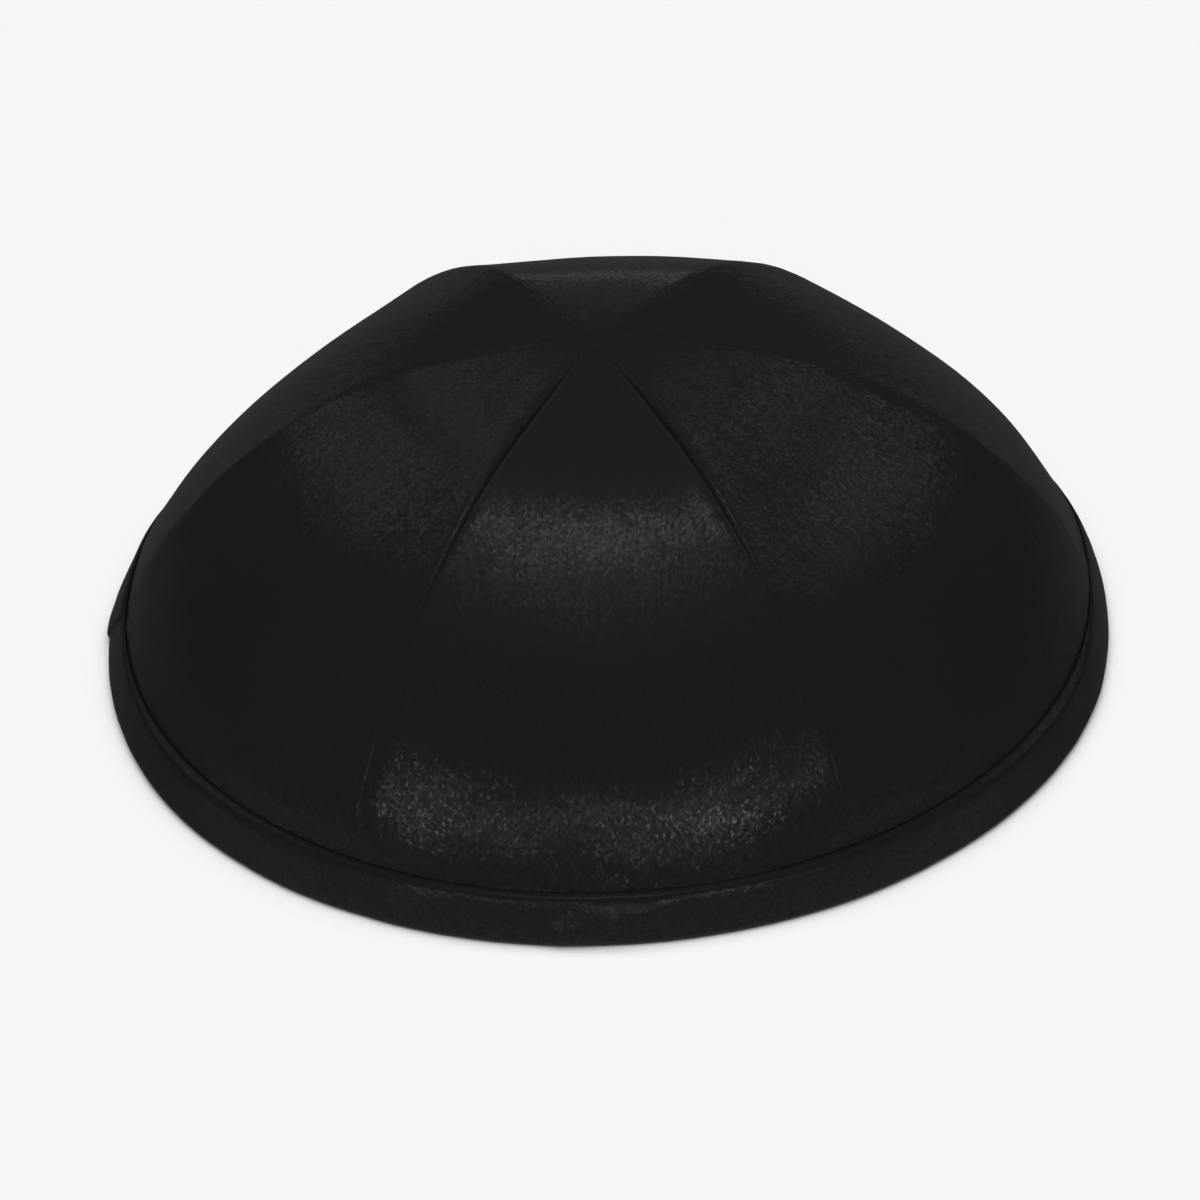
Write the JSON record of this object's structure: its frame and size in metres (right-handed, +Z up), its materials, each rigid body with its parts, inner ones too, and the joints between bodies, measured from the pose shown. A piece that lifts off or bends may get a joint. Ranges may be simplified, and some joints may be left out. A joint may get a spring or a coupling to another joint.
{
  "type": "kippah",
  "caption": "Black satin skull cap sewn from pointed gores that meet at the crown, with a cloth binding folded round its open rim, worn on the top of the head.",
  "frame": {"origin": "middle of the rim's box, on the surface that the cap stands on", "axes": "+Z up towards the crown, the front gore faces -Y, +X to the right seen from the front"},
  "size_m": [0.167, 0.1624, 0.0583],
  "materials": {
    "satin": "smooth black satin weave with a soft sheen",
    "binding": "black satin bias tape, folded and slightly padded"
  },
  "bodies": {
    "root": {"panel_front": "satin", "panel_front_left": "satin", "panel_back_left": "satin", "panel_back": "satin", "panel_back_right": "satin", "panel_front_right": "satin", "rim_binding": "binding"}
  },
  "joints": []
}
